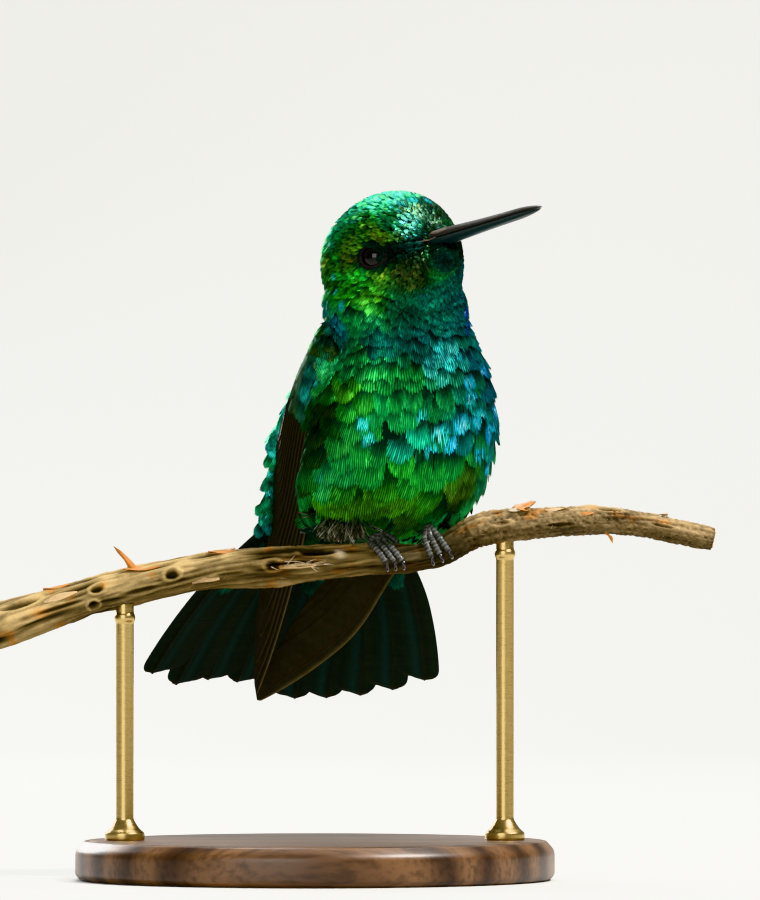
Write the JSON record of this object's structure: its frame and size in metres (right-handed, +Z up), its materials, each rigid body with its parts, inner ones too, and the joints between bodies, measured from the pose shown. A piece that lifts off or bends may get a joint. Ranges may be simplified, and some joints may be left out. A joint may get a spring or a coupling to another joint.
{
  "type": "hummingbird",
  "caption": "Life-size perched emerald hummingbird with folded wings and fanned tail, on a cut length of dry flower stem held by a plain round display stand.",
  "frame": {"origin": "centre of the underside of the stand's round base", "axes": "+Z up, +X along the stem towards its cut right-hand end, -Y towards the side that the bird faces"},
  "size_m": [0.0732, 0.054, 0.0689],
  "materials": {
    "green_plumage": "iridescent emerald body feathers with cyan glints",
    "teal_plumage": "iridescent blue-green coverts",
    "flight_feathers": "matt dark brown vanes",
    "tail_feathers": "blue-black vanes with a low sheen",
    "bill_horn": "smooth black horn",
    "claw_horn": "polished black horn",
    "eye": "wet black-brown",
    "foot_skin": "scaly slate-grey skin",
    "dry_stem": "dry fibrous stem, matt",
    "dry_bract": "dry orange-brown bract",
    "stand_wood": "oiled walnut, satin",
    "stand_brass": "satin"
  },
  "bodies": {
    "root": {"head": "green_plumage", "neck": "green_plumage", "trunk": "green_plumage", "rump": "teal_plumage", "tail": "tail_feathers", "wing_right": "flight_feathers", "wing_left": "flight_feathers", "eye_right": "eye", "eye_left": "eye", "bill_upper": "bill_horn", "bill_lower": "bill_horn", "perch": "dry_stem", "perch_bract_1": "dry_bract", "perch_bract_2": "dry_bract", "stand_base": "stand_wood", "stand_rod_1": "stand_brass", "stand_rod_2": "stand_brass", "leg_right": "foot_skin", "toe_right_1": "foot_skin", "claw_right_1": "claw_horn", "toe_right_2": "foot_skin", "claw_right_2": "claw_horn", "toe_right_3": "foot_skin", "claw_right_3": "claw_horn", "toe_right_4": "foot_skin", "claw_right_4": "claw_horn", "leg_left": "foot_skin", "toe_left_1": "foot_skin", "claw_left_1": "claw_horn", "toe_left_2": "foot_skin", "claw_left_2": "claw_horn", "toe_left_3": "foot_skin", "claw_left_3": "claw_horn", "toe_left_4": "foot_skin", "claw_left_4": "claw_horn"}
  },
  "joints": []
}
